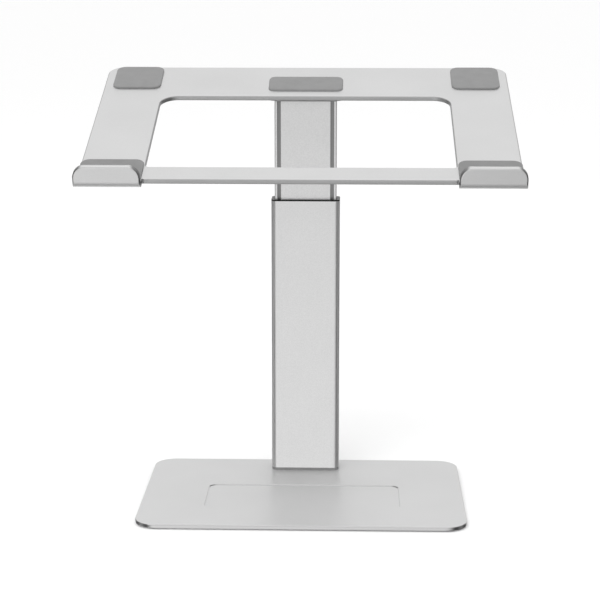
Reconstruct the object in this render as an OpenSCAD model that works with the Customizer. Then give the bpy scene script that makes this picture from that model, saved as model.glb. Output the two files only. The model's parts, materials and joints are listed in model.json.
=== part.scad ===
// Height-adjustable laptop stand: a flat base plate, a two-part rectangular column that
// telescopes, and a sloping open tray with two turned-up front lips.
// Millimetres. The origin is the centre of the stand's footprint at desk level.
// +X is to the right, -Y is towards the user, +Z is up.

/* [Base] */
// Width of the base plate
base_w = 250; // [230:1:280]
// Front-to-back depth of the base plate
base_d = 172; // [170:1:200]
// Thickness of the base plate
base_t = 3.2; // [3:0.1:5]
// Corner radius of the base plate, seen from above
base_r = 17; // [10:1:25]
// Rounding of the base plate's edges
base_round = 0.8; // [0.4:0.1:1.2]
// Width of the floor of the shallow pocket in the top of the base
pocket_w = 150; // [100:1:180]
// Front-to-back depth of the pocket's floor
pocket_d = 58; // [40:1:70]
// Corner radius of the pocket's floor
pocket_r = 6; // [3:0.5:10]
// How far the pocket is sunk, with walls that are a quarter round
pocket_sink = 1; // [0.4:0.1:1.2]
// Distance from the base's front edge to the pocket's floor
pocket_front = 43.5; // [30:0.5:50]
// Diameter of each rubber foot
foot_d = 16; // [10:1:22]
// How far the feet lift the plate off the desk
foot_lift = 0.8; // [0.6:0.1:3]
// Distance from the plate's edges to the middle of each foot
foot_margin = 20; // [18:1:30]

/* [Column] */
// Distance from the base's front edge to the column's front face
column_front = 141; // [120:1:142]
// Width of the outer sleeve
sleeve_w = 54.8; // [54.8:0.1:60]
// Front-to-back depth of the outer sleeve
sleeve_d = 24; // [24:0.5:28]
// Outer corner radius of the sleeve
sleeve_r = 4.5; // [3:0.5:6]
// Wall of the outer sleeve
sleeve_wall = 1.4; // [1.2:0.1:1.4]
// Height of the sleeve's top edge above the desk
sleeve_top = 226.8; // [210:0.2:260]
// Width of the inner tube
tube_w = 49.2; // [46:0.1:49.8]
// Front-to-back depth of the inner tube
tube_d = 15.6; // [15:0.1:15.6]
// Wall of the inner tube
tube_wall = 2; // [1.5:0.1:2.2]
// How far the tube's front face lies behind the sleeve's front face
tube_inset = 3; // [3:0.1:3.4]
// Width of each guide groove in the tube
groove_w = 3; // [2.5:0.1:3.5]
// Depth of each guide groove
groove_depth = 2.6; // [2:0.1:2.8]
// Width of the tube outside each groove
ridge_w = 2; // [2:0.1:2.6]

/* [Height adjustment] */
// How far the tray can be lowered from the height that is drawn
travel_down = 74; // [50:1:74]
// How far the tray can be raised from the height that is drawn
travel_up = 46; // [20:1:60]
// Free gap between the tube and the bushing around it
slide_gap = 0.35; // [0.3:0.05:0.45]
// Gap left where a moving piece meets its stop
stop_gap = 0.3; // [0.3:0.1:0.6]

/* [Tray] */
// Width of the tray
tray_w = 320; // [290:1:340]
// Length of the tray down its slope, from the lips' outer faces
tray_l = 212; // [205:1:230]
// Thickness of the tray's plate
tray_t = 4; // [3:0.1:4.5]
// Rounding of the tray's edges
tray_round = 1.2; // [0.5:0.1:1.4]
// Slope of the tray in degrees
tray_tilt = 19; // [15:0.5:21]
// Height of the tray's upper face at its front end
tray_front_z = 260.5; // [255:0.5:280]
// Corner radius at the tray's rear corners
tray_r = 12; // [8:1:20]
// Width of each side bar
side_bar = 47.3; // [44:0.1:55]
// Width of the front bar, measured down the slope
front_bar = 20.7; // [16:0.1:24]
// How far the front bar lies behind the lips' outer faces
front_bar_set = 9.3; // [8:0.1:12]
// Width of the rear bar, measured down the slope
rear_bar = 57.4; // [56:0.2:60]
// Corner radius at the rear of the tray's opening
opening_r = 13.5; // [8:0.5:18]
// Width of each lip
lip_w = 48.2; // [40:0.2:50]
// How far each lip stands out past the tray's side edge
lip_out = 1.4; // [1:0.1:2]
// Height of the lips above the tray's upper face
lip_h = 14.2; // [12:0.2:18]
// Radius of the lips' upper corners
lip_r = 9.5; // [5:0.5:10]
// Inside radius of the bend at the foot of each lip
bend_r = 2; // [1.5:0.1:3]

/* [Pads] */
// Thickness of the rubber pads and lip liners
pad_t = 1.6; // [1.2:0.1:2]
// Width of each rear corner pad
corner_pad_w = 38; // [30:0.2:42]
// Length of each rear corner pad down the slope
corner_pad_l = 41; // [30:0.2:44]
// Gap from the tray's side edge to a corner pad
corner_pad_side = 6.8; // [5:0.2:9]
// Gap from the tray's rear edge to a corner pad
corner_pad_rear = 2.4; // [1.4:0.2:5]
// Corner radius of the rear corner pads
corner_pad_r = 6.5; // [3:0.5:9]
// Width of the centre pad
centre_pad_w = 58.8; // [58:0.2:64]
// Length of the centre pad down the slope
centre_pad_l = 26.2; // [26:0.2:34]
// Gap from the tray's rear edge to the centre pad
centre_pad_rear = 21.3; // [17:0.1:23]
// Corner radius of the centre pad
centre_pad_r = 5; // [3:0.5:6]
// How far each lip liner reaches back along the tray
liner_l = 39; // [30:1:50]
// Corner radius at the rear of each lip liner
liner_r = 7; // [4:0.5:10]

/* [Hidden] */
$fn = 64;

eps = 0.01;
fit = 0.05;                // gap between parts that are pushed or screwed together
silver = [0.80, 0.80, 0.81];
dark_grey = [0.32, 0.32, 0.33];
pad_grey = [0.55, 0.55, 0.56];

// Levels
base_z = foot_lift;
deck_z = base_z + base_t;
gasket_t = 2.2;
gasket_inset = 0.2;
sleeve_z = deck_z + gasket_t;
collar_t = 1;
block_h = 30;              // height of the cast foot inside the sleeve
buffer_w = 30;
buffer_d = 10;
buffer_t = 6;
buffer_r = 4;
glide_h = 12;
buffer_top = deck_z + block_h + buffer_t;
glide_z = buffer_top + travel_down + stop_gap;
tube_z = glide_z + glide_h;
bushing_z = tube_z + travel_up + stop_gap;

// Feet
foot_sink = 0.6;           // depth of the recess that holds each foot
foot_edge = 0.3;           // chamfer round each foot's lower face
foot_play = 0.1;           // clearance between a foot and its recess

// The column in plan
column_y = -base_d / 2 + column_front + sleeve_d / 2;
bore_w = sleeve_w - 2 * sleeve_wall;
bore_d = sleeve_d - 2 * sleeve_wall;
bore_r = sleeve_r - sleeve_wall;
sleeve_rear = column_y + sleeve_d / 2;
bore_rear = column_y + bore_d / 2;
tube_y = column_y - sleeve_d / 2 + tube_inset + tube_d / 2;
tube_front = tube_y - tube_d / 2;
tube_rear = tube_y + tube_d / 2;
tube_r = 0.8;              // rounding of the tube's long edges
core_w = tube_w - 2 * (ridge_w + groove_w + tube_wall);
core_d = tube_d - 2 * tube_wall;

// The tray: its plan is centred over the base
lip_lean = lip_h * sin(tray_tilt);
tray_plan = tray_l * cos(tray_tilt) + tray_t * sin(tray_tilt) + lip_lean;
tray_y = -tray_plan / 2 + lip_lean;
opening_w = tray_w - 2 * side_bar;
opening_v = front_bar_set + front_bar;
opening_l = tray_l - rear_bar - opening_v;
opening_front_r = 3;
bend_out = bend_r + tray_t;
relief_w = 1.4;            // slot beside each bend, so that the plate doesn't tear
relief_l = 0.8;
liner_margin = 0.4;        // how far a liner stays inside its lip's rim and inner end

// Fasteners: shank, head diameter, head height, width and depth of the socket
m4 = 4;
m4_head = 7.6;
m4_head_h = 1.8;
m4_socket = 2.5;
m4_socket_h = 1.4;
m5 = 5;
m5_head = 9.2;
m5_head_h = 2.4;
m5_socket = 3;
m5_socket_h = 1.6;
screw_play = 0.3;          // how much wider a clearance hole is than its screw
thread_l = 12;             // length of a screw inside a cast part
column_screw_x = 18;
column_screw_y = 5.5;
sleeve_screw_x = 14;
sleeve_screw_z = deck_z + block_h / 2;
sleeve_screw_l = 11;
sleeve_screw_head = 2;
tension_head = 2.2;
tension_pitch = 20;
bracket_screw_x = 11;
bracket_screw_z = 14;      // below the lower end of the tube's mitre
bracket_screw_l = 9;
tray_screw_x = 24;
tray_screw_v = 8;

// The head bracket
bracket_w = 60;
bracket_l = 28;
bracket_t = 4;
bracket_r = 5;
spigot_l = 40;
centre_pad_v = tray_l - centre_pad_rear - centre_pad_l / 2;
// Height of the bracket's underside where the tube's front face meets it
head_z = tray_front_z + (tube_front - tray_y) * tan(tray_tilt) - (tray_t + bracket_t) / cos(tray_tilt);

// The brake in the rear wall of the upper bushing
brake_w = 28;
brake_h = 38;
brake_down = 10;           // from the sleeve's top edge to the brake
brake_z = sleeve_top - brake_down - brake_h;
shoe_t = 1.8;
shoe_y = tube_rear + slide_gap;
nut_plate_y = shoe_y + shoe_t;

// A rectangle with round corners, centred on the origin
module round_rect(w, d, r) {
    square([w - 2 * r, d], center = true);
    square([w, d - 2 * r], center = true);
    for (x = [-1, 1], y = [-1, 1])
        translate([x * (w / 2 - r), y * (d / 2 - r)]) circle(r);
}

// A shape drawn in Y and Z, drawn out along +X
module along_x(length) rotate([90, 0, 90]) linear_extrude(length) children();

// A shape drawn in X and Z, drawn out from y = 0 to y = length
module along_y(length) translate([0, length, 0]) rotate([90, 0, 0]) linear_extrude(length) children();

// Half of a plate's section, from its middle out to its rounded edge
module edge_profile(half, t, edge_r) {
    square([half - edge_r, t]);
    translate([0, edge_r]) square([half, t - 2 * edge_r]);
    for (z = [edge_r, t - edge_r])
        translate([half - edge_r, z]) circle(edge_r);
}

// The whole section of a plate with rounded edges
module plate_section(half, t, edge_r) {
    edge_profile(half, t, edge_r);
    mirror([1, 0]) edge_profile(half, t, edge_r);
}

// A plate with round corners and rounded edges, centred in plan, from z = 0 up
module soft_plate(w, d, t, r, edge_r) {
    translate([0, -(d / 2 - r), 0]) along_y(d - 2 * r) plate_section(w / 2, t, edge_r);
    translate([-(w / 2 - r), 0, 0]) along_x(w - 2 * r) plate_section(d / 2, t, edge_r);
    for (x = [-1, 1], y = [-1, 1])
        translate([x * (w / 2 - r), y * (d / 2 - r), 0]) rotate_extrude() edge_profile(r, t, edge_r);
}

// A cutter for an opening in a plate, which leaves both rims rounded
module opening_cutter(w, d, t, r, edge_r) {
    translate([0, 0, -1]) linear_extrude(t + 2) round_rect(w, d, r);
    for (side = [0, 1])
        translate([0, 0, side * t]) mirror([0, 0, side]) rim_cutter(w, d, r, edge_r);
}

// What is taken off one rim of an opening. The plate's face is at z = 0, the plate above it.
module rim_cutter(w, d, r, edge_r) {
    translate([0, -(d / 2 - r), 0]) along_y(d - 2 * r) rim_sections(w / 2, edge_r);
    translate([-(w / 2 - r), 0, 0]) along_x(w - 2 * r) rim_sections(d / 2, edge_r);
    for (x = [-1, 1], y = [-1, 1])
        translate([x * (w / 2 - r), y * (d / 2 - r), 0]) rotate_extrude() rim_section(r, edge_r);
}

module rim_section(half, edge_r) {
    difference() {
        translate([0, -edge_r]) square([half + edge_r, 2 * edge_r]);
        translate([half + edge_r, edge_r]) circle(edge_r);
    }
}

module rim_sections(half, edge_r) {
    rim_section(half, edge_r);
    mirror([1, 0]) rim_section(half, edge_r);
}

// A countersunk screw standing on its head: the head's flat face is at z = 0
module flat_head_screw(d, head_d, head_h, length) {
    cylinder(h = head_h, d1 = head_d, d2 = d);
    cylinder(h = length, d = d);
}

// The hole that a countersunk screw sits in
module flat_head_hole(d, head_d, head_h, length) {
    translate([0, 0, -eps]) cylinder(h = head_h + eps, d1 = head_d + screw_play, d2 = d + screw_play);
    cylinder(h = length, d = d + screw_play);
}

// A hexagon socket in a screw's head, opening at z = 0
module hex_socket(across, depth) {
    translate([0, 0, -eps]) cylinder(h = depth, d = across / cos(30), $fn = 6);
}

// A domed screw standing on its head, with its hexagon socket at z = 0
module dome_head_screw(d, head_d, head_h, length) {
    dome_r = (head_d * head_d / 4 + head_h * head_h) / (2 * head_h);
    difference() {
        union() {
            rotate_extrude() intersection() {
                translate([0, dome_r]) circle(dome_r);
                square([head_d / 2, head_h]);
            }
            cylinder(h = length, d = d);
        }
        hex_socket(d * 0.6, head_h * 0.8);
    }
}

// Moves what is drawn in the tray's own frame onto its slope. There, x runs across, y runs
// up the slope from the lips' outer faces, and z = 0 is the tray's upper face.
module on_tray() translate([0, tray_y, tray_front_z]) rotate([tray_tilt, 0, 0]) children();

// The tube's outline, with its four guide grooves. Grown by a gap, it is the bore that the
// tube slides in.
module tube_outline(grow) {
    difference() {
        round_rect(tube_w + 2 * grow, tube_d + 2 * grow, tube_r);
        for (x = [-1, 1], y = [-1, 1])
            translate([x * (tube_w / 2 - ridge_w - groove_w / 2), y * tube_d / 2])
                square([groove_w - 2 * grow, 2 * (groove_depth - grow)], center = true);
    }
}

module base_screw_places() {
    for (x = [-1, 1], y = [-1, 1])
        translate([x * column_screw_x, column_y + y * column_screw_y, base_z]) children();
}

// The plate with its shallow pocket, foot recesses and countersunk holes
module base_plate() {
    color(silver) difference() {
        translate([0, 0, base_z]) soft_plate(base_w, base_d, base_t, base_r, base_round);
        translate([0, -base_d / 2 + pocket_front + pocket_d / 2, deck_z]) mirror([0, 0, 1]) {
            translate([0, 0, -1]) linear_extrude(1 + pocket_sink) round_rect(pocket_w, pocket_d, pocket_r);
            rim_cutter(pocket_w, pocket_d, pocket_r, pocket_sink);
        }
        for (x = [-1, 1], y = [-1, 1])
            foot_place(x, y) translate([0, 0, -1]) cylinder(h = 1 + foot_sink, d = foot_d + 2 * foot_play);
        base_screw_places() flat_head_hole(m4, m4_head, m4_head_h, base_t + 1);
    }
}

// The underside of the plate at one corner's foot
module foot_place(x, y) {
    translate([x * (base_w / 2 - foot_margin), y * (base_d / 2 - foot_margin), base_z]) children();
}

module foot(x, y) {
    color(dark_grey) foot_place(x, y) translate([0, 0, -foot_lift]) {
        cylinder(h = foot_edge, d1 = foot_d - 2 * foot_edge, d2 = foot_d);
        translate([0, 0, foot_edge]) cylinder(h = foot_lift + foot_sink - foot_edge, d = foot_d);
    }
}

module foot_front_left() foot(-1, -1);
module foot_front_right() foot(1, -1);
module foot_rear_left() foot(-1, 1);
module foot_rear_right() foot(1, 1);

// The cast block that the sleeve stands over, screwed up through the base plate
module column_foot() {
    color(silver) difference() {
        translate([0, column_y, deck_z]) linear_extrude(block_h)
            round_rect(bore_w - 2 * fit, bore_d - 2 * fit, bore_r);
        base_screw_places() cylinder(h = base_t + thread_l + 2, d = m4 + 2 * fit);
        sleeve_screw_places() cylinder(h = sleeve_screw_l, d = m4 + 2 * fit);
    }
}

module column_screws() {
    color(dark_grey) base_screw_places() difference() {
        flat_head_screw(m4, m4_head, m4_head_h, base_t + thread_l);
        hex_socket(m4_socket, m4_socket_h);
    }
}

module foot_gasket() {
    color(dark_grey) translate([0, column_y, deck_z]) linear_extrude(gasket_t) difference() {
        round_rect(sleeve_w - 2 * gasket_inset, sleeve_d - 2 * gasket_inset, sleeve_r - gasket_inset);
        round_rect(bore_w, bore_d, bore_r);
    }
}

// Places on the sleeve's rear face, with +Z pointing into the column
module sleeve_screw_places() {
    for (x = [-1, 1])
        translate([x * sleeve_screw_x, sleeve_rear, sleeve_screw_z]) rotate([90, 0, 0]) children();
}

module tension_screw_places() {
    for (z = [-1, 1])
        translate([0, sleeve_rear, brake_z + brake_h / 2 + z * tension_pitch / 2])
            rotate([90, 0, 0]) children();
}

module outer_sleeve() {
    color(silver) difference() {
        translate([0, column_y, sleeve_z]) linear_extrude(sleeve_top - sleeve_z) difference() {
            round_rect(sleeve_w, sleeve_d, sleeve_r);
            round_rect(bore_w, bore_d, bore_r);
        }
        sleeve_screw_places() translate([0, 0, -1]) cylinder(h = sleeve_wall + 2, d = m4 + screw_play);
        tension_screw_places() translate([0, 0, -1]) cylinder(h = sleeve_wall + 2, d = m5 + screw_play);
    }
}

module sleeve_screws() {
    color(dark_grey) sleeve_screw_places() translate([0, 0, -sleeve_screw_head])
        dome_head_screw(m4, m4_head, sleeve_screw_head, sleeve_screw_l);
}

// The lower stop
module bottom_buffer() {
    color(dark_grey) translate([0, column_y, deck_z + block_h]) linear_extrude(buffer_t)
        round_rect(buffer_w, buffer_d, buffer_r);
}

// The room for the brake in the rear wall of the bushing
module brake_room() {
    translate([-brake_w / 2, tube_y, brake_z]) cube([brake_w, bore_rear - tube_y + 1, brake_h]);
}

// The plastic liner in the top of the sleeve, whose flange is the dark line round the rim
module upper_bushing() {
    color("black") difference() {
        union() {
            translate([0, column_y, bushing_z]) linear_extrude(sleeve_top - bushing_z)
                round_rect(bore_w - 2 * fit, bore_d - 2 * fit, bore_r);
            translate([0, column_y, sleeve_top]) linear_extrude(collar_t)
                round_rect(sleeve_w, sleeve_d, sleeve_r);
        }
        translate([0, tube_y, bushing_z - 1]) linear_extrude(sleeve_top - bushing_z + collar_t + 2)
            tube_outline(slide_gap);
        brake_room();
    }
}

// The nylon shoe that is pressed against the tube's rear face
module brake_shoe() {
    color("white") translate([-brake_w / 2 + fit, shoe_y, brake_z + fit])
        cube([brake_w - 2 * fit, shoe_t, brake_h - 2 * fit]);
}

module brake_nut_plate() {
    color(dark_grey) difference() {
        translate([-brake_w / 2 + fit, nut_plate_y, brake_z + fit])
            cube([brake_w - 2 * fit, bore_rear - fit - nut_plate_y, brake_h - 2 * fit]);
        tension_screw_places() cylinder(h = sleeve_d, d = m5 + 2 * fit);
    }
}

module tension_screws() {
    color(dark_grey) tension_screw_places() translate([0, 0, -tension_head])
        dome_head_screw(m5, m5_head, tension_head, tension_head + sleeve_rear - nut_plate_y);
}

// Everything above the underside of the head bracket
module above_bracket() {
    on_tray() translate([-tray_w / 4, tray_l / 3, -tray_t - bracket_t]) cube([tray_w / 2, tray_l, tray_w]);
}

module inner_tube() {
    color(silver) difference() {
        translate([0, tube_y, tube_z]) linear_extrude(tray_front_z + tray_l / 2 - tube_z) difference() {
            tube_outline(0);
            square([core_w, core_d], center = true);
            square([tube_w - 2 * tube_wall, tube_d - 2 * (groove_depth + tube_wall)], center = true);
        }
        above_bracket();
        glide_pin_hole();
        bracket_screw_places() flat_head_hole(m4, m4_head, m4_head_h, tube_wall + 1);
    }
}

// The shoe closes the tube's lower end, runs in the sleeve and meets the stops
module lower_glide() {
    color("white") difference() {
        union() {
            translate([0, column_y, glide_z]) linear_extrude(glide_h)
                round_rect(bore_w - 2 * slide_gap, bore_d - 2 * slide_gap, bore_r - slide_gap);
            translate([0, tube_y, tube_z - eps]) linear_extrude(2 * glide_h)
                square([core_w - 2 * fit, core_d - 2 * fit], center = true);
        }
        glide_pin_hole();
    }
}

// The pin's place on the tube's rear face, with +Z pointing forwards
module glide_pin_place() {
    translate([0, tube_rear, tube_z + glide_h]) rotate([90, 0, 0]) children();
}

module glide_pin_hole() {
    glide_pin_place() translate([0, 0, -1]) cylinder(h = tube_d + 2, d = m4 + 2 * fit);
}

module glide_pin() {
    inset = 0.2;
    color(dark_grey) glide_pin_place() translate([0, 0, inset]) cylinder(h = tube_d - 2 * inset, d = m4);
}

module bracket_screw_places() {
    for (x = [-1, 1])
        translate([x * bracket_screw_x, tube_rear, head_z - bracket_screw_z]) rotate([90, 0, 0]) children();
}

module tray_screw_places() {
    on_tray() for (x = [-1, 1], v = [-1, 1])
        translate([x * tray_screw_x, centre_pad_v + v * tray_screw_v, 0]) mirror([0, 0, 1]) children();
}

// The cast head: a sloping plate under the tray with a spigot down inside the tube
module head_bracket() {
    color(silver) difference() {
        union() {
            on_tray() translate([0, centre_pad_v, -tray_t - bracket_t]) linear_extrude(bracket_t)
                round_rect(bracket_w, bracket_l, bracket_r);
            difference() {
                translate([0, tube_y, head_z - spigot_l]) linear_extrude(spigot_l + tube_d)
                    square([core_w - 2 * fit, core_d - 2 * fit], center = true);
                translate([0, 0, 1]) above_bracket();
            }
        }
        tray_screw_places() cylinder(h = 2 * (tray_t + bracket_t), d = m5 + 2 * fit);
        bracket_screw_places() cylinder(h = bracket_screw_l + 2, d = m4 + 2 * fit);
    }
}

module bracket_screws() {
    color(dark_grey) bracket_screw_places() translate([0, 0, 2 * fit]) difference() {
        flat_head_screw(m4, m4_head, m4_head_h, bracket_screw_l);
        hex_socket(m4_socket, m4_socket_h);
    }
}

// The side view of a lip: its bend, its upright with a rounded rim, and a stub into the plate
module lip_profile() {
    stub = front_bar_set + 3 * tray_round;
    difference() {
        intersection() {
            translate([bend_out, bend_out - tray_t]) circle(bend_out);
            translate([0, -tray_t]) square(bend_out);
        }
        translate([bend_out, bend_out - tray_t]) circle(bend_r);
    }
    translate([bend_out - eps, -tray_t]) square([stub - bend_out + eps, tray_t]);
    translate([0, bend_r - eps]) square([tray_t, lip_h - tray_round - bend_r + eps]);
    translate([tray_round, bend_r]) square([tray_t - 2 * tray_round, lip_h - bend_r]);
    for (y = [tray_round, tray_t - tray_round])
        translate([y, lip_h - tray_round]) circle(tray_round);
}

// A lip from x = 0 to lip_w. The upright plate rounds its upper corners and front edges.
module lip() {
    reach = front_bar_set + 3 * tray_round + 2;
    height = 2 * (lip_h + tray_t);
    intersection() {
        along_x(lip_w) lip_profile();
        translate([lip_w / 2, reach, lip_h - height / 2]) rotate([90, 0, 0])
            soft_plate(lip_w, height, reach, lip_r, tray_round);
    }
}

// The slot beside a lip's bend
module bend_relief() {
    end_v = front_bar_set + relief_l - relief_w / 2;
    translate([lip_w, 0, -2 * tray_t]) linear_extrude(3 * tray_t) {
        square([relief_w, end_v]);
        translate([relief_w / 2, end_v]) circle(relief_w / 2);
    }
}

// The tray's plate before it is opened. Its front corners are tight, and the rear ones round.
module tray_blank() {
    front_l = tray_l / 2 - front_bar_set;
    rear_l = tray_l * 3 / 4;
    tight_r = 2 * tray_round + 0.1;
    translate([0, front_bar_set + front_l / 2, -tray_t])
        soft_plate(tray_w, front_l, tray_t, tight_r, tray_round);
    translate([0, tray_l - rear_l / 2, -tray_t]) soft_plate(tray_w, rear_l, tray_t, tray_r, tray_round);
}

module tray_frame() {
    color(silver) difference() {
        on_tray() difference() {
            union() {
                tray_blank();
                lip_sides() lip();
            }
            lip_sides() bend_relief();
            translate([0, opening_v + opening_l / 2, -tray_t])
                opening_cutter(opening_w, opening_l, tray_t, opening_r, tray_round);
            translate([0, opening_v + opening_l / 4, -tray_t])
                opening_cutter(opening_w, opening_l / 2, tray_t, opening_front_r, tray_round);
        }
        tray_screw_places() flat_head_hole(m5, m5_head, m5_head_h, tray_t + 1);
    }
}

// Draws a lip's piece at both sides, from the outer end of the lip
module lip_sides() {
    for (side = [0, 1]) mirror([side, 0, 0]) translate([-tray_w / 2 - lip_out, 0, 0]) children();
}

module tray_screws() {
    color(dark_grey) tray_screw_places() translate([0, 0, 2 * fit]) difference() {
        flat_head_screw(m5, m5_head, m5_head_h, tray_t + bracket_t - 4 * fit);
        hex_socket(m5_socket, m5_socket_h);
    }
}

// The front view of a lip liner, with its upper corners rounded by r
module liner_front(w, h, r) {
    square([w, h - r]);
    translate([r, 0]) square([w - 2 * r, h]);
    for (x = [r, w - r])
        translate([x, h - r]) circle(r);
}

// A rubber sheet along the tray and up the inner face of a lip
module lip_liner(side) {
    w = lip_w - lip_out - liner_margin;
    h = lip_h - liner_margin;
    color(pad_grey) on_tray() mirror([side, 0, 0]) translate([-tray_w / 2, 0, 0]) {
        difference() {
            translate([w / 2, liner_l / 2, fit]) linear_extrude(pad_t - fit) round_rect(w, liner_l, liner_r);
            translate([-1, -1, -1]) cube([w + 2, bend_out + 1, pad_t + 2]);
        }
        intersection() {
            along_x(w) {
                translate([tray_t + fit, bend_r]) square([pad_t - fit, h - bend_r]);
                intersection() {
                    translate([bend_out, bend_r]) circle(bend_r - fit);
                    square([bend_out + eps, bend_r + eps]);
                }
            }
            along_y(bend_out + 1) liner_front(w, h, lip_r - liner_margin);
        }
    }
}

module left_lip_liner() lip_liner(0);
module right_lip_liner() lip_liner(1);

module pad(x, v, w, l, r) {
    color(pad_grey) on_tray() translate([x, v, 0]) linear_extrude(pad_t) round_rect(w, l, r);
}

module corner_pad(side) {
    pad(side * (tray_w / 2 - corner_pad_side - corner_pad_w / 2),
        tray_l - corner_pad_rear - corner_pad_l / 2, corner_pad_w, corner_pad_l, corner_pad_r);
}

module rear_left_pad() corner_pad(-1);
module rear_right_pad() corner_pad(1);
module centre_pad() pad(0, centre_pad_v, centre_pad_w, centre_pad_l, centre_pad_r);

base_plate();
foot_front_left();
foot_front_right();
foot_rear_left();
foot_rear_right();
column_foot();
column_screws();
foot_gasket();
outer_sleeve();
sleeve_screws();
bottom_buffer();
upper_bushing();
brake_shoe();
brake_nut_plate();
tension_screws();
inner_tube();
lower_glide();
glide_pin();
head_bracket();
bracket_screws();
tray_frame();
tray_screws();
left_lip_liner();
right_lip_liner();
rear_left_pad();
rear_right_pad();
centre_pad();
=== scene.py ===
"""Looks of the height-adjustable laptop stand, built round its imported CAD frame. Metres."""

import json
import math

import bpy
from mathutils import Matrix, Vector


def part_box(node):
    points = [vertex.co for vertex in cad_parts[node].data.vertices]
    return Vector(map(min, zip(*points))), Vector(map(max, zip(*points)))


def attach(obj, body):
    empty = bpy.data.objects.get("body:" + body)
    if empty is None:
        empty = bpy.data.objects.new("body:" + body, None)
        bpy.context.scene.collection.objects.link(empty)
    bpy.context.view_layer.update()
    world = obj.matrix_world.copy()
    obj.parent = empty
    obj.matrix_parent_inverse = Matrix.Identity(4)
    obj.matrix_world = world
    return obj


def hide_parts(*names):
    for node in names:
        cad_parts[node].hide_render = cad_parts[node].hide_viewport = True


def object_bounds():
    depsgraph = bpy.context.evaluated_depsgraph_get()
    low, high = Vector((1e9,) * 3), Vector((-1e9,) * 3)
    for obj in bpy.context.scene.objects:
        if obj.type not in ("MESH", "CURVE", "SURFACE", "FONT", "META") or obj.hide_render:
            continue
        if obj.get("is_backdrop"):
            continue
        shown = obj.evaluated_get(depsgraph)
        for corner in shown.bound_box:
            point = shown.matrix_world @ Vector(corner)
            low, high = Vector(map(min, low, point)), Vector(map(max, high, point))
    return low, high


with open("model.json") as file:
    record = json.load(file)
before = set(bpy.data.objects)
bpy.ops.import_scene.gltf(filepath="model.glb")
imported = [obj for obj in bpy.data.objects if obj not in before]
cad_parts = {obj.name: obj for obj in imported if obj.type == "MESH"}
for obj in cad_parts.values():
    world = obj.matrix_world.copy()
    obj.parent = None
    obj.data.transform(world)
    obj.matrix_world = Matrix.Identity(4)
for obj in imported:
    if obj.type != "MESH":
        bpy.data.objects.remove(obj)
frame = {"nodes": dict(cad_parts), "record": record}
cad_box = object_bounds()
MM = 0.001
RIGHT, BACK, UP = Vector((1, 0, 0)), Vector((0, 1, 0)), Vector((0, 0, 1))

# ---------------------------------------------------------------- camera
CAMERA_PLACE = Vector((0.0385, -1.342, 0.432))
CAMERA_HEADING = math.radians(1.757)
CAMERA_DIP = math.radians(11.54)
CAMERA_LENS = 106.28
SENSOR = 36.0
CLIP_END = 100


def make_camera():
    """The long lens that looks a little down on the stand, from slightly right of it."""
    data = bpy.data.cameras.new("camera")
    data.lens = CAMERA_LENS
    data.sensor_width = SENSOR
    data.clip_end = CLIP_END
    camera = bpy.data.objects.new("camera", data)
    camera.location = CAMERA_PLACE
    camera.rotation_euler = (math.pi / 2 - CAMERA_DIP, 0, CAMERA_HEADING)
    bpy.context.scene.collection.objects.link(camera)
    bpy.context.scene.camera = camera


# ---------------------------------------------------------------- studio
FLOOR_SIZE = 60.0
FLOOR_COLOUR = (0.985, 0.985, 0.985, 1)
ROOM_LIGHT = 1.0           # even light on everything matt
CORNER_LIGHT = 0.1         # what metal mirrors from the dark gaps between the panels
SIDE_LIGHT = 0.6           # and from the panels at the sides
LEAN = 1.7                 # how fast mirrored light from low down falls off to the right
# Light by how far a direction turns from front or back (0) to a side (1)
PANELS = [(0.0, 1.0), (0.54, 1.0), (0.73, CORNER_LIGHT), (0.95, CORNER_LIGHT), (0.99, SIDE_LIGHT)]
# By height, from straight down (0) over level (0.5) to straight up (1): how much the roof
# fills the gaps between the panels, how bright all of it is, and where LEAN counts
ROOF = [(0.65, 0.0), (0.82, 1.0)]
HEIGHT = [
    (0.0, 0.9), (0.07, 0.82), (0.2, 1.1), (0.36, 1.25),
    (0.5, 0.75), (0.62, 1.12), (0.78, 0.84), (0.92, 1.28),
]
LOW = [(0.2, 1.0), (0.35, 0.0)]
KEY_PLACE, KEY_TARGET = (-0.5, -1.0, 1.7), (0, 0, 0.15)
KEY_SIZE = 1.2
KEY_POWER = 12


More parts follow.
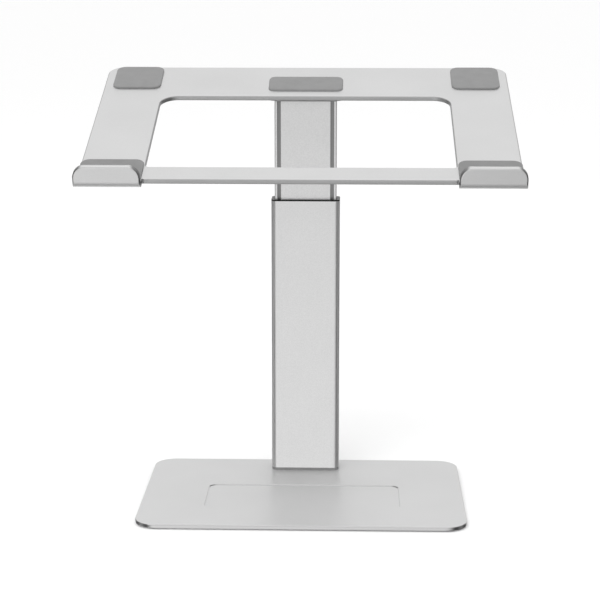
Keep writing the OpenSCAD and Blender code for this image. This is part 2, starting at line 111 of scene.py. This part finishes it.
def make_floor():
    """A plain white floor, wide enough to fill the picture from every side."""
    half = FLOOR_SIZE / 2
    mesh = bpy.data.meshes.new("floor")
    corners = [(-half, -half, 0), (half, -half, 0), (half, half, 0), (-half, half, 0)]
    mesh.from_pydata(corners, [], [(0, 1, 2, 3)])
    floor = bpy.data.objects.new("floor", mesh)
    floor.visible_glossy = False
    bpy.context.scene.collection.objects.link(floor)
    paint = NodeMaterial("floor_paint")
    paint.shader(base_color=FLOOR_COLOUR, roughness=0.9, specular=0.1)
    mesh.materials.append(paint.material)
    floor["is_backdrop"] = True


def make_room():
    """White light from all round, and what metal mirrors: four tall panels with dark gaps."""
    world = bpy.data.worlds.new("studio")
    world.use_nodes = True
    nodes, links = world.node_tree.nodes, world.node_tree.links

    def math_node(operation, a, b=0.0):
        node = nodes.new("ShaderNodeMath")
        node.operation = operation
        for socket, value in zip(node.inputs, (a, b)):
            if isinstance(value, bpy.types.NodeSocket):
                links.new(value, socket)
            else:
                socket.default_value = value
        return node.outputs[0]

    def steps(value, *places):
        """Brightness that runs smoothly through (value, brightness) pairs."""
        ramp = nodes.new("ShaderNodeValToRGB")
        ramp.color_ramp.interpolation = "EASE"
        points = ramp.color_ramp.elements
        while len(points) < len(places):
            points.new(0.5)
        for point, (place, light) in zip(points, places):
            point.position = place
            point.color = (light, light, light, 1)
        links.new(value, ramp.inputs[0])
        return ramp.outputs["Color"]

    direction = nodes.new("ShaderNodeTexCoord").outputs["Generated"]
    split = nodes.new("ShaderNodeSeparateXYZ")
    links.new(direction, split.inputs[0])
    x, y, z = split.outputs
    across = math_node("ABSOLUTE", x)
    squares = math_node("ADD", math_node("MULTIPLY", x, x), math_node("MULTIPLY", y, y))
    level = math_node("MAXIMUM", math_node("SQRT", squares), 0.001)
    panels = steps(math_node("DIVIDE", across, level), *PANELS)
    height = math_node("MULTIPLY_ADD", z, 0.5)
    height.node.inputs[2].default_value = 0.5
    roof = steps(height, *ROOF)
    lit = math_node("MULTIPLY", math_node("MAXIMUM", panels, roof), steps(height, *HEIGHT))
    lean = math_node("MULTIPLY", math_node("MULTIPLY", x, steps(height, *LOW)), -LEAN)
    lean = math_node("MAXIMUM", math_node("ADD", lean, 1.0), CORNER_LIGHT)
    lit = math_node("MULTIPLY", lit, lean)
    mirrored = nodes.new("ShaderNodeLightPath").outputs["Is Glossy Ray"]
    blend = nodes.new("ShaderNodeMix")
    blend.data_type = "FLOAT"
    links.new(mirrored, blend.inputs[0])
    blend.inputs[2].default_value = ROOM_LIGHT
    links.new(lit, blend.inputs[3])
    background = nodes["Background"]
    links.new(blend.outputs[0], background.inputs["Strength"])
    background.inputs["Color"].default_value = (1, 1, 1, 1)
    bpy.context.scene.world = world


def make_softbox(name, place, target, size, power):
    """A square soft light that faces target."""
    data = bpy.data.lights.new(name, "AREA")
    data.shape = "SQUARE"
    data.size = size
    data.energy = power
    light = bpy.data.objects.new(name, data)
    light.visible_glossy = False
    light.location = place
    light.rotation_euler = (Vector(target) - Vector(place)).to_track_quat("-Z", "Y").to_euler()
    bpy.context.scene.collection.objects.link(light)


def tray_axes():
    """A point on the tray's rest plane, and the unit vectors across, up the slope and out."""
    mounts = {m["name"]: m for m in frame["record"]["mounts"]}
    rest = mounts["laptop_rest"]
    out = Vector(rest["axis"]).normalized()
    return Vector(rest["pos_m"]), RIGHT, out.cross(RIGHT), out


# ---------------------------------------------------------------- materials
NOISE_BAND = (0.3, 0.7)


class NodeMaterial:
    """One material's node tree, written one node a line."""

    def __init__(self, name):
        self.material = bpy.data.materials.new(name)
        self.material.use_nodes = True
        self.tree = self.material.node_tree
        self.tree.nodes.clear()
        self.output = self.tree.nodes.new("ShaderNodeOutputMaterial")
        self.coordinates = None

    def add(self, kind, inputs=None, **settings):
        """A node of that kind. An input is a value, or the socket that it is joined to."""
        node = self.tree.nodes.new(kind)
        for name, value in settings.items():
            setattr(node, name, value)
        for key, value in (inputs or {}).items():
            if isinstance(value, bpy.types.NodeSocket):
                self.tree.links.new(value, node.inputs[key])
            else:
                node.inputs[key].default_value = value
        return node

    def place(self):
        """The object's own coordinates, in metres."""
        if self.coordinates is None:
            self.coordinates = self.add("ShaderNodeTexCoord")
        return self.coordinates.outputs["Object"]

    def normal(self):
        """The surface's direction in the object's own coordinates."""
        self.place()
        return self.coordinates.outputs["Normal"]

    def along(self, vector, direction, offset=0.0):
        """How far vector reaches in that direction, plus offset."""
        reach = self.add("ShaderNodeVectorMath", {0: vector, 1: direction}, operation="DOT_PRODUCT")
        return self.math("ADD", reach.outputs["Value"], offset)

    def blend(self, factor, a, b):
        """a where factor is 0, b where it is 1."""
        node = self.add("ShaderNodeMix", data_type="FLOAT")
        for socket, value in ((node.inputs[0], factor), (node.inputs[2], a), (node.inputs[3], b)):
            if isinstance(value, bpy.types.NodeSocket):
                self.tree.links.new(value, socket)
            else:
                socket.default_value = value
        return node.outputs[0]

    def noise(self, size, detail=2.0, roughness=0.5, stretch=(1, 1, 1)):
        """Noise whose lumps are about size across, from 0 to 1."""
        mapping = self.add("ShaderNodeMapping", {"Vector": self.place(), "Scale": stretch})
        inputs = {"Vector": mapping.outputs[0], "Scale": 1 / size}
        inputs.update({"Detail": detail, "Roughness": roughness})
        return self.add("ShaderNodeTexNoise", inputs).outputs["Fac"]

    def spread(self, value, low, high, start=0.0, stop=1.0):
        """value, taken from start..stop to low..high."""
        inputs = {"Value": value, "From Min": start, "From Max": stop}
        inputs.update({"To Min": low, "To Max": high})
        return self.add("ShaderNodeMapRange", inputs).outputs["Result"]

    def vary(self, noise, low, high):
        """noise, taken from the band where most of it lies to low..high."""
        return self.spread(noise, low, high, *NOISE_BAND)

    def grey(self, value):
        """A neutral colour as light as value."""
        inputs = {"Red": value, "Green": value, "Blue": value}
        return self.add("ShaderNodeCombineColor", inputs).outputs[0]

    def math(self, operation, a, b):
        """a and b, put together by that operation."""
        return self.add("ShaderNodeMath", {0: a, 1: b}, operation=operation).outputs[0]

    def bump(self, height, depth, strength=1.0, under=None):
        """A normal that rises and falls by depth with height."""
        inputs = {"Height": height, "Distance": depth, "Strength": strength}
        if under is not None:
            inputs["Normal"] = under
        return self.add("ShaderNodeBump", inputs).outputs["Normal"]

    def shader(self, base_color, roughness, metallic=0.0, specular=0.5, normal=None, extra=None):
        """The surface itself, joined to the output."""
        inputs = {
            "Base Color": base_color,
            "Roughness": roughness,
            "Metallic": metallic,
            "Specular IOR Level": specular,
        }
        if normal is not None:
            inputs["Normal"] = normal
        inputs.update(extra or {})
        node = self.add("ShaderNodeBsdfPrincipled", inputs)
        self.tree.links.new(node.outputs[0], self.output.inputs["Surface"])


CUT_EDGE_PAINTED_SHADE = 0.45            # grey of the tray's sheared edges, painted shade
LIP_END_PAINTED_SHADE = 0.26             # darker painted shade on the edge round a lip's corners
BASE_EDGE_PAINTED_SHADE = 0.54           # painted shade and reflection on the base over its edges
BASE_CORNER_PAINTED_SHADE = 0.3          # darker painted shade and reflection round the base's corners
LIP_BACK = -170 * MM       # along the slope from the centre pad: what lies before it is a lip
LIP_FADE = 1 * MM
# painted shade in the tube's guide grooves
GROOVE_PAINTED_SHADE = 0.25
GROOVE_OUTER = 5.05 * MM   # from the tube's side to both sides of a groove
GROOVE_INNER = 1.95 * MM
GROOVE_START = 0.3 * MM    # how far behind the tube's face a groove's painted shade starts
UPRIGHT = (1, 1, 0.02)     # draws a texture out along the column
COLUMN_GRIT = 0.8 * MM
COLUMN_SPECKLE = 0.04
COAT = {"Coat Weight": 0.1, "Coat Roughness": 0.3}


def blasted(name, lightness, roughness, draw, grit=0.32 * MM, speckle=0.03):
    """The start of bead-blasted, clear-anodised aluminium: its nodes, tone, roughness and normal.

    draw stretches the faint lines of an extrusion, grit is the size of the grain and speckle
    how much it shows.
    """
    m = NodeMaterial(name)
    cloud = m.noise(45 * MM, detail=3)
    lines = m.noise(0.9 * MM, detail=2, stretch=draw)
    grain = m.noise(grit, detail=3, roughness=0.6)
    shade = m.math("ADD", m.vary(cloud, -0.015, 0.015), m.vary(grain, -speckle, speckle))
    tone = m.math("ADD", shade, lightness)
    rough = m.math("ADD", m.vary(cloud, -0.03, 0.03), m.vary(lines, -0.03, 0.03))
    rough = m.math("ADD", rough, roughness)
    normal = m.bump(grain, 0.012 * MM)
    normal = m.bump(lines, 0.006 * MM, under=normal)
    return m, tone, rough, normal


def column_metal(name, lightness, roughness):
    """Blasted aluminium extrusion, drawn upwards, with the coarser grain of the column."""
    return blasted(name, lightness, roughness, UPRIGHT, COLUMN_GRIT, COLUMN_SPECKLE)


def sleeve_metal(name, lightness, roughness):
    """The plain outer extrusion of the column."""
    m, tone, rough, normal = column_metal(name, lightness, roughness)
    m.shader(m.grey(tone), rough, metallic=1.0, normal=normal)
    return m.material


def tray_metal(name, lightness, roughness):
    """Blasted aluminium plate with coarser sheared edges, darkened by painted shade."""
    m, face, rough, normal = blasted(name, lightness, roughness, (1, 1, 1))
    point, across, slope, out = tray_axes()
    flat = m.math("ABSOLUTE", m.along(m.normal(), out), 0.0)
    plate_edge = m.spread(flat, 1.0, 0.0, 0.8, 0.97)
    reach = m.along(m.place(), slope, -point.dot(slope))
    behind = m.spread(reach, 0.0, 1.0, LIP_BACK, LIP_BACK + LIP_FADE)
    plate_edge = m.math("MULTIPLY", plate_edge, behind)
    sideways = m.math("ABSOLUTE", m.along(m.normal(), across), 0.0)
    lip_end = m.spread(sideways, 0.0, 1.0, 0.25, 0.5)
    edge = m.math("MAXIMUM", plate_edge, lip_end)
    # painted shade: a darker grey over the sheared edges, darkest round the lips' corners
    dark = m.spread(behind, LIP_END_PAINTED_SHADE, CUT_EDGE_PAINTED_SHADE)
    colour = m.grey(m.blend(edge, face, dark))
    rough = m.math("ADD", rough, m.math("MULTIPLY", edge, 0.08))
    m.shader(colour, rough, metallic=1.0, normal=normal)
    return m.material


def tube_metal(name, lightness, roughness):
    """Drawn tube whose guide grooves are darkened by painted shade, a tone matched to the photo."""
    m, face, rough, normal = column_metal(name, lightness, roughness)
    low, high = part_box("inner_tube")
    side = m.math("ABSOLUTE", m.along(m.place(), RIGHT), 0.0)
    inside = m.math("GREATER_THAN", side, high.x - GROOVE_OUTER)
    outside = m.math("LESS_THAN", side, high.x - GROOVE_INNER)
    middle = (low.y + high.y) / 2
    depth = m.math("ABSOLUTE", m.along(m.place(), BACK, -middle), 0.0)
    sunk = m.math("LESS_THAN", depth, (high.y - low.y) / 2 - GROOVE_START)
    groove = m.math("MULTIPLY", m.math("MULTIPLY", inside, outside), sunk)
    # painted shade: the grooves take a darker grey
    colour = m.grey(m.blend(groove, face, GROOVE_PAINTED_SHADE))
    m.shader(colour, rough, metallic=1.0, normal=normal)
    return m.material


def powder_coat(name, lightness, roughness):
    """Fine silver powder coat over steel: a soft metallic film with a faint orange peel.

    The plate's edges are glossier, and darker by painted shade and reflection, most of all round
    its corners. These tones were matched to the photo, and stand for no wear.
    """
    m = NodeMaterial(name)
    flake = m.noise(0.25 * MM, detail=2, roughness=0.7)
    peel = m.noise(2.2 * MM, detail=2)
    cloud = m.noise(60 * MM, detail=3)
    shade = m.math("ADD", m.vary(flake, -0.05, 0.05), m.vary(cloud, -0.012, 0.012))
    level = m.math("ABSOLUTE", m.along(m.normal(), UP), 0.0)
    edge = m.spread(level, 1.0, 0.0, 0.4, 0.95)
    both_ways = m.math("MULTIPLY", m.along(m.normal(), RIGHT), m.along(m.normal(), BACK))
    corner = m.spread(m.math("ABSOLUTE", both_ways, 0.0), 0.0, 1.0, 0.1, 0.4)
    # painted shade and reflection: a darker grey over the base's edges, darkest round its corners
    painted_edge_shade = m.blend(corner, BASE_EDGE_PAINTED_SHADE, BASE_CORNER_PAINTED_SHADE)
    colour = m.grey(m.blend(edge, m.math("ADD", shade, lightness), painted_edge_shade))
    metal = m.spread(edge, 0.45, 1.0)
    rough = m.math("ADD", m.vary(flake, -0.05, 0.05), roughness)
    rough = m.math("SUBTRACT", rough, m.math("MULTIPLY", edge, 0.12))
    normal = m.bump(peel, 0.01 * MM)
    normal = m.bump(flake, 0.01 * MM, under=normal)
    m.shader(colour, rough, metallic=metal, normal=normal, extra=COAT)
    return m.material


def cast_metal(name):
    """Die-cast alloy, tumbled: duller than the extrusions, with shallow waves."""
    m = NodeMaterial(name)
    waves = m.noise(3.5 * MM, detail=3)
    grain = m.noise(0.4 * MM, detail=2)
    colour = m.grey(m.math("ADD", m.vary(waves, -0.04, 0.04), 0.5))
    rough = m.vary(grain, 0.48, 0.6)
    normal = m.bump(waves, 0.05 * MM)
    normal = m.bump(grain, 0.015 * MM, under=normal)
    m.shader(colour, rough, metallic=1.0, normal=normal)
    return m.material


def screw_steel(name):
    """Satin plated steel with faint blotches and a fine grain."""
    m = NodeMaterial(name)
    blotch = m.noise(1.5 * MM, detail=2)
    grain = m.noise(0.15 * MM, detail=2)
    colour = m.grey(m.vary(blotch, 0.2, 0.28))
    rough = m.vary(grain, 0.28, 0.4)
    m.shader(colour, rough, metallic=1.0, normal=m.bump(grain, 0.01 * MM))
    return m.material


def moulded_plastic(name, lightness, roughness, texture, specular=0.5):
    """Moulded plastic with a fine spark-eroded texture."""
    m = NodeMaterial(name)
    grain = m.noise(texture, detail=2, roughness=0.6)
    cloud = m.noise(14 * MM, detail=2)
    colour = m.grey(m.vary(cloud, lightness * 0.92, lightness * 1.08))
    rough = m.vary(grain, roughness - 0.06, roughness + 0.06)
    m.shader(colour, rough, specular=specular, normal=m.bump(grain, 0.02 * MM))
    return m.material


def silicone(name, lightness, roughness):
    """Matt silicone rubber: a fine moulded grain, a little darker in the hollows of its grain."""
    m = NodeMaterial(name)
    grain = m.noise(0.35 * MM, detail=3, roughness=0.6)
    cloud = m.noise(9 * MM, detail=3)
    shade = m.math("ADD", m.vary(grain, -0.012, 0.012), m.vary(cloud, -0.01, 0.01))
    colour = m.grey(m.math("ADD", shade, lightness))
    rough = m.vary(grain, roughness - 0.05, roughness + 0.05)
    extra = {"Sheen Weight": 0.12, "Sheen Roughness": 0.5}
    m.shader(colour, rough, specular=0.35, normal=m.bump(grain, 0.03 * MM), extra=extra)
    return m.material


def paint(names, material):
    """Gives these CAD nodes that material."""
    for name in names:
        mesh = frame["nodes"][name].data
        mesh.materials.clear()
        mesh.materials.append(material)


def dress_cad_nodes():
    """The hard pieces, which keep their CAD shape."""
    base_coat = powder_coat("base_coat", 0.59, 0.42)
    cast = cast_metal("cast_metal")
    steel = screw_steel("screw_steel")
    black = moulded_plastic("bushing_black", 0.004, 0.3, 0.3 * MM, 0.08)
    grey = moulded_plastic("gasket_grey", 0.24, 0.55, 0.3 * MM)
    nylon = moulded_plastic("glide_nylon", 0.75, 0.5, 0.4 * MM)
    paint(["base_plate"], base_coat)
    frame["nodes"]["base_plate"].visible_glossy = False  # the column mirrors the floor's light
    paint(["tray_frame"], tray_metal("tray_metal", 0.63, 0.42))
    paint(["outer_sleeve"], sleeve_metal("sleeve_metal", 0.685, 0.4))
    paint(["inner_tube"], tube_metal("tube_metal", 0.68, 0.4))
    paint(["column_foot", "head_bracket"], cast)
    paint(["column_screws", "sleeve_screws", "tension_screws", "brake_nut_plate"], steel)
    paint(["bracket_screws", "tray_screws", "glide_pin"], steel)
    paint(["upper_bushing"], black)
    paint(["foot_gasket"], grey)
    paint(["brake_shoe", "lower_glide"], nylon)


# ---------------------------------------------------------------- soft pieces
EDGE_STEPS = (0.0, 0.06, 0.2, 0.45, 0.75, 1.0)   # places across a rounded edge
CREASE = math.radians(50)  # a fold sharper than this shades as an edge


def grid_lines(length, edge, step):
    """Places across a sheet: close together in the rounded edges, step apart between."""
    half = length / 2
    inner = half - edge
    count = max(2, round(2 * inner / step))
    middle = [-inner + 2 * inner * i / count for i in range(1, count)]
    near = [edge * k for k in EDGE_STEPS]
    return [-half + d for d in near] + middle + [half - d for d in reversed(near)]


def rounded_corner(a, b, radius):
    """Moves a point of a square corner, a and b past its centre, to a round corner."""
    p, q = a / radius, b / radius
    reach = radius * max(p, q)
    turn = math.pi / 4 * (q / p) if q <= p else math.pi / 2 - math.pi / 4 * (p / q)
    return reach * math.cos(turn), reach * math.sin(turn)


def soft_sheet(name, width, length, thickness, corners, edge, step, crown, place):
    """A rubber sheet with round corners and a rounded upper edge.

    corners holds the corner radius at its low and high end, crown is how much thicker it is
    in the middle, and place(across, along, height) puts each point on its surface.
    """
    across = grid_lines(width, edge, step)
    along = grid_lines(length, edge, step)
    top, under = [], []
    for v in along:
        radius = corners[0] if v < 0 else corners[1]
        for u in across:
            inset = min(width / 2 - abs(u), length / 2 - abs(v))
            a, b = abs(u) - (width / 2 - radius), abs(v) - (length / 2 - radius)
            x, y = u, v
            if a > 0 and b > 0:
                da, db = rounded_corner(a, b, radius)
                x = math.copysign(width / 2 - radius + da, u)
                y = math.copysign(length / 2 - radius + db, v)
            dip = edge - math.sqrt(max(0.0, edge**2 - (edge - min(inset, edge)) ** 2))
            swell = crown * (1 - (2 * u / width) ** 4) * (1 - (2 * v / length) ** 4)
            top.append(place(x, y, thickness - crown - dip + swell))
            under.append(place(x, y, 0.0))
    nu, nv = len(across), len(along)
    offset = nu * nv
    faces = []
    for j in range(nv - 1):
        for i in range(nu - 1):
            a, b, c, d = j * nu + i, j * nu + i + 1, (j + 1) * nu + i + 1, (j + 1) * nu + i
            faces.append((a, b, c, d))
            faces.append((offset + d, offset + c, offset + b, offset + a))
    rim = list(range(nu))
    rim += [j * nu + nu - 1 for j in range(1, nv)]
    rim += [(nv - 1) * nu + i for i in range(nu - 2, -1, -1)]
    rim += [j * nu for j in range(nv - 2, 0, -1)]
    for here, after in zip(rim, rim[1:] + rim[:1]):
        faces.append((here, offset + here, offset + after, after))
    mesh = bpy.data.meshes.new(name)
    mesh.from_pydata(top + under, [], faces)
    mesh.polygons.foreach_set("use_smooth", [True] * len(faces))
    mesh.set_sharp_from_angle(angle=CREASE)
    piece = bpy.data.objects.new(name, mesh)
    bpy.context.scene.collection.objects.link(piece)
    return piece


def sloped_box(node):
    """Lowest and highest (across, up the slope, out) of a CAD node, from tray_axes' point."""
    point, across, slope, out = tray_axes()
    reach = [v.co - point for v in frame["nodes"][node].data.vertices]
    rows = [(r.dot(across), r.dot(slope), r.dot(out)) for r in reach]
    return Vector(map(min, *rows)), Vector(map(max, *rows))


def on_slope(origin):
    """A function that puts (across, along, height) on the tray's slope, from origin."""
    point, across, slope, out = tray_axes()
    corner = point + across * origin[0] + slope * origin[1] + out * origin[2]
    return lambda x, y, z: corner + across * x + slope * y + out * z


# Each pad's corner radius, and the rounding of its upper edge
PADS = {
    "rear_left_pad": (6.5 * MM, 0.9 * MM),
    "rear_right_pad": (6.5 * MM, 0.9 * MM),
    "centre_pad": (5 * MM, 1.5 * MM),
}
LINER_EDGE = 0.8 * MM
PAD_STEP = 3 * MM
PAD_CROWN = 0.12 * MM


def make_pad(node, material):
    """A silicone pad on the tray, in the room of its CAD node."""
    low, high = sloped_box(node)
    size = high - low
    place = on_slope(((low.x + high.x) / 2, (low.y + high.y) / 2, low.z))
    corner, edge = PADS[node]
    name = node + "_rubber"
    corners = (corner, corner)
    pad = soft_sheet(name, *size, corners, edge, PAD_STEP, PAD_CROWN, place)
    finish_soft(pad, node, material, "riser")


LINER_THICKNESS = 1.55 * MM
LINER_BEND = 1.95 * MM
LINER_CORNERS = (9.1 * MM, 7 * MM)
LINER_STEP = PAD_STEP / 4


def make_liner(node, material):
    """A silicone sheet that runs down the inner face of a lip and back along the tray."""
    low, high = sloped_box(node)
    rise = high.z - low.z - LINER_BEND
    run = high.y - low.y - LINER_BEND
    turn = LINER_BEND * math.pi / 2
    length = rise + turn + run
    put = on_slope(((low.x + high.x) / 2, low.y, low.z))

    def place(x, y, height):
        s = y + length / 2
        if s < rise:
            return put(x, height, LINER_BEND + rise - s)
        if s < rise + turn:
            angle = (s - rise) / LINER_BEND
            reach = LINER_BEND - height
            along, up = reach * math.cos(angle), reach * math.sin(angle)
            return put(x, LINER_BEND - along, LINER_BEND - up)
        return put(x, LINER_BEND + s - rise - turn, height)

    box = (high.x - low.x, length, LINER_THICKNESS)
    name = node + "_rubber"
    sheet = soft_sheet(name, *box, LINER_CORNERS, LINER_EDGE, LINER_STEP, 0.0, place)
    finish_soft(sheet, node, material, "riser")


FOOT_EDGE = 0.35 * MM
FOOT_STEP = 1.5 * MM
FOOT_ROUND = 0.999         # share of its half width that a foot's corner radius takes


def make_foot(node, material):
    """A round rubber foot whose rounded face is on the desk."""
    low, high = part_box(node)
    size = high - low
    middle = (low + high) / 2

    def place(x, y, height):
        return Vector((middle.x + x, middle.y - y, high.z - height))

    radius = size.x / 2 * FOOT_ROUND
    corners = (radius, radius)
    foot = soft_sheet(node + "_rubber", *size, corners, FOOT_EDGE, FOOT_STEP, 0.0, place)
    finish_soft(foot, node, material, "base")


BUFFER_EDGE = 1 * MM
BUFFER_STEP = 2 * MM
BUFFER_ROUND = 0.8         # share of its half depth that the buffer's corner radius takes


def make_buffer(node, material):
    """The rubber stop on top of the foot block, inside the sleeve."""
    low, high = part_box(node)
    size = high - low
    middle = (low + high) / 2

    def place(x, y, height):
        return Vector((middle.x + x, middle.y + y, low.z + height))

    radius = size.y / 2 * BUFFER_ROUND
    corners = (radius, radius)
    piece = soft_sheet(node + "_rubber", *size, corners, BUFFER_EDGE, BUFFER_STEP, 0.0, place)
    finish_soft(piece, node, material, "base")


def finish_soft(piece, node, material, body):
    """Paints a new piece, lets it ride, and shows it in place of its CAD node."""
    piece.data.materials.append(material)
    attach(piece, body)
    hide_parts(node)


def make_soft_pieces():
    """Every rubber piece, in place of its plain CAD solid."""
    pad_rubber = silicone("pad_silicone", 0.225, 0.7)
    liner_rubber = silicone("liner_silicone", 0.2, 0.7)
    foot_rubber = silicone("foot_rubber", 0.035, 0.75)
    for node in PADS:
        make_pad(node, pad_rubber)
    for node in ("left_lip_liner", "right_lip_liner"):
        make_liner(node, liner_rubber)
    for node in ("foot_front_left", "foot_front_right", "foot_rear_left", "foot_rear_right"):
        make_foot(node, foot_rubber)
    make_buffer("bottom_buffer", foot_rubber)


make_camera()
make_floor()
make_room()
make_softbox("key_light", KEY_PLACE, KEY_TARGET, KEY_SIZE, KEY_POWER)
bpy.context.scene.view_settings.view_transform = "Standard"
dress_cad_nodes()
make_soft_pieces()

boxes = {"cad": cad_box, "visual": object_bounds()}
{name: [list(corner) for corner in pair] for name, pair in boxes.items()}
